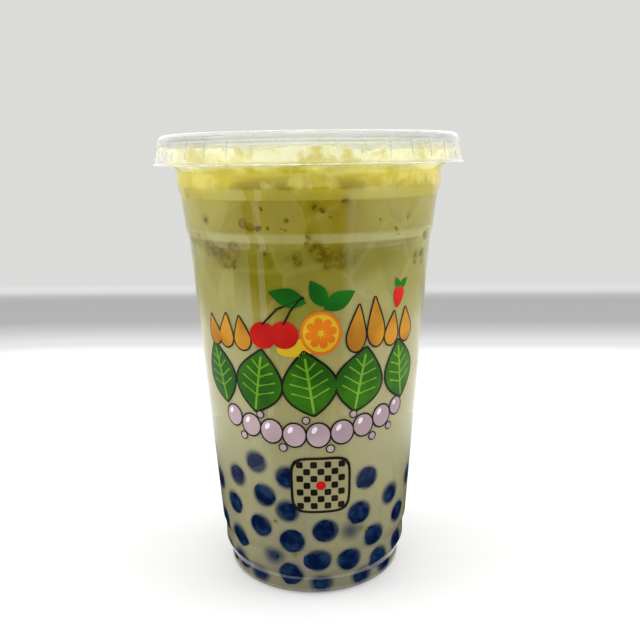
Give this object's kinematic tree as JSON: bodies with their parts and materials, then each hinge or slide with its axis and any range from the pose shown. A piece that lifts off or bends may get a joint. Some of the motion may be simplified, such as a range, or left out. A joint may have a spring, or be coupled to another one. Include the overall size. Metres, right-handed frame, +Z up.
{
  "type": "bubble tea",
  "caption": "Clear tapered takeaway cup of pale green-yellow milk tea with ice and dark tapioca pearls, closed by a flat ribbed lid pressed over its rim.",
  "frame": {"origin": "on the axis of the cup, in the plane that it stands on", "axes": "+Z up along the axis of the cup, +X to the right and -Y towards the viewer, who sees the printed front"},
  "size_m": [0.102, 0.102, 0.151],
  "materials": {
    "clear_cup": "gloss",
    "clear_lid": "gloss",
    "tea": "gloss",
    "ice": "gloss",
    "froth": "satin",
    "pearl": "gloss",
    "fruit_speck": "satin",
    "print_amber": "satin",
    "print_orange": "satin",
    "print_red": "satin",
    "print_green": "satin",
    "print_lilac": "satin",
    "print_dark": "satin"
  },
  "bodies": {
    "root": {"cup": "clear_cup", "lid": "clear_lid", "drink": "tea", "ice_1": "ice", "ice_2": "ice", "ice_3": "ice", "ice_4": "ice", "ice_5": "ice", "ice_6": "ice", "ice_7": "ice"}
  },
  "joints": []
}
